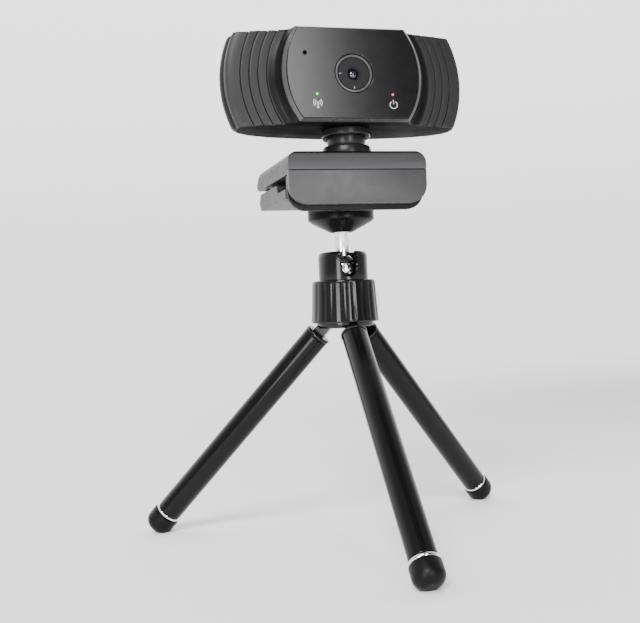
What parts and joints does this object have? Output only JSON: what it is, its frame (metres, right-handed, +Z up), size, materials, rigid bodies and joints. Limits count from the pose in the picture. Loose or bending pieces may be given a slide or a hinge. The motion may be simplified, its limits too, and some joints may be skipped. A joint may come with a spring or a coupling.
{
  "type": "webcam on tripod",
  "caption": "Webcam with a wide ribbed head on a tilting neck and a folding monitor clip, screwed onto a mini ball-head tripod with folding legs.",
  "frame": {"origin": "middle of the footprint on the surface it stands on", "axes": "+Z up, -Y is the side the lens looks to, +X to the right of someone facing the lens"},
  "size_m": [0.1652, 0.1447, 0.2079],
  "materials": {
    "tripod_plastic": "gloss",
    "leg_black": "gloss",
    "chrome": "polished",
    "rubber": "matte",
    "screw_steel": "satin",
    "brass": "satin",
    "clip_black": "satin",
    "fascia_black": "satin",
    "neck_black": "satin",
    "head_black": "satin",
    "bezel_black": "satin",
    "face_gloss": "gloss",
    "lens_glass": "clear",
    "board_green": "satin",
    "light_green": "gloss",
    "light_red": "gloss"
  },
  "bodies": {
    "tripod_core": {"hub": "tripod_plastic", "ball_cup": "tripod_plastic", "leg_pin_1": "screw_steel", "leg_pin_2": "screw_steel", "leg_pin_3": "screw_steel"},
    "lock_ring": {"lock_ring": "tripod_plastic"},
    "leg_1": {"leg_knuckle_1": "tripod_plastic", "leg_tube_1": "leg_black", "foot_ring_1": "chrome", "foot_cap_1": "rubber"},
    "leg_2": {"leg_knuckle_2": "tripod_plastic", "leg_tube_2": "leg_black", "foot_ring_2": "chrome", "foot_cap_2": "rubber"},
    "leg_3": {"leg_knuckle_3": "tripod_plastic", "leg_tube_3": "leg_black", "foot_ring_3": "chrome", "foot_cap_3": "rubber"},
    "stud": {"ball_stud": "chrome", "mount_disc": "tripod_plastic", "mount_pad": "rubber"},
    "lower_clip": {"lower_arm": "clip_black", "tripod_nut": "brass", "clamp_pad": "rubber", "slot_bracket": "screw_steel", "foot_lip": "clip_black", "lip_screw_left": "screw_steel", "lip_screw_right": "screw_steel", "hinge_pin": "screw_steel", "hinge_washer_left": "screw_steel", "hinge_washer_right": "screw_steel"},
    "upper_clip": {"upper_arm": "clip_black", "upper_arm_cover": "clip_black", "fascia_panel": "fascia_black"},
    "neck": {"turntable": "neck_black", "neck_ball": "neck_black", "turntable_washer": "screw_steel", "turntable_screw": "screw_steel"},
    "head": {"front_shell": "head_black", "rear_shell": "head_black", "bezel": "bezel_black", "face_plate": "face_gloss", "neck_collar": "neck_black", "lens_barrel": "head_black", "lens_glass": "lens_glass", "lens_holder": "head_black", "image_sensor": "lens_glass", "main_board": "board_green", "microphone": "screw_steel", "light_green": "light_green", "light_red": "light_red", "light_guide_left": "lens_glass", "light_guide_right": "lens_glass", "cable_gland": "rubber", "case_screw_left": "screw_steel", "case_screw_right": "screw_steel"},
    "focus": {"focus_ring": "bezel_black", "lens_disc": "face_gloss"}
  },
  "joints": [
    {"name": "leg_fold_1", "type": "hinge", "parent": "tripod_core", "child": "leg_1", "pos_m": [0, 0.01471, 0.0907], "axis": [1, 0, 0], "range_deg": [0, 43.5]},
    {"name": "leg_fold_2", "type": "hinge", "parent": "tripod_core", "child": "leg_2", "pos_m": [0.00632, 0.02566, 0.0907], "axis": [-0.5, 0.866, 0], "range_deg": [0, 43.5]},
    {"name": "leg_fold_3", "type": "hinge", "parent": "tripod_core", "child": "leg_3", "pos_m": [-0.00632, 0.02566, 0.0907], "axis": [-0.5, -0.866, 0], "range_deg": [0, 43.5]},
    {"name": "ring_turn", "type": "hinge", "parent": "tripod_core", "child": "lock_ring", "pos_m": [0, 0.02201, 0.099], "axis": [0, 0, 1], "range_deg": [0, 120]},
    {"name": "ball_tilt", "type": "hinge", "parent": "tripod_core", "child": "stud", "pos_m": [0, 0.02201, 0.1127], "axis": [1, 0, 0], "range_deg": [-15, 90]},
    {"name": "clip_spin", "type": "hinge", "parent": "stud", "child": "lower_clip", "pos_m": [0, 0.02201, 0.14], "axis": [0, 0, 1], "continuous": true},
    {"name": "clip_open", "type": "hinge", "parent": "lower_clip", "child": "upper_clip", "pos_m": [0, 0.05001, 0.1486], "axis": [-1, 0, 0], "range_deg": [0, 60]},
    {"name": "neck_pan", "type": "hinge", "parent": "upper_clip", "child": "neck", "pos_m": [0, 0.00901, 0.16], "axis": [0, 0, 1], "range_deg": [-180, 180]},
    {"name": "head_tilt", "type": "hinge", "parent": "neck", "child": "head", "pos_m": [0, 0.00901, 0.165], "axis": [-1, 0, 0], "range_deg": [-14, 8]},
    {"name": "focus_turn", "type": "hinge", "parent": "head", "child": "focus", "pos_m": [0, -0.00635, 0.18913], "axis": [0, -0.9976, 0.0698], "range_deg": [-45, 45]}
  ]
}
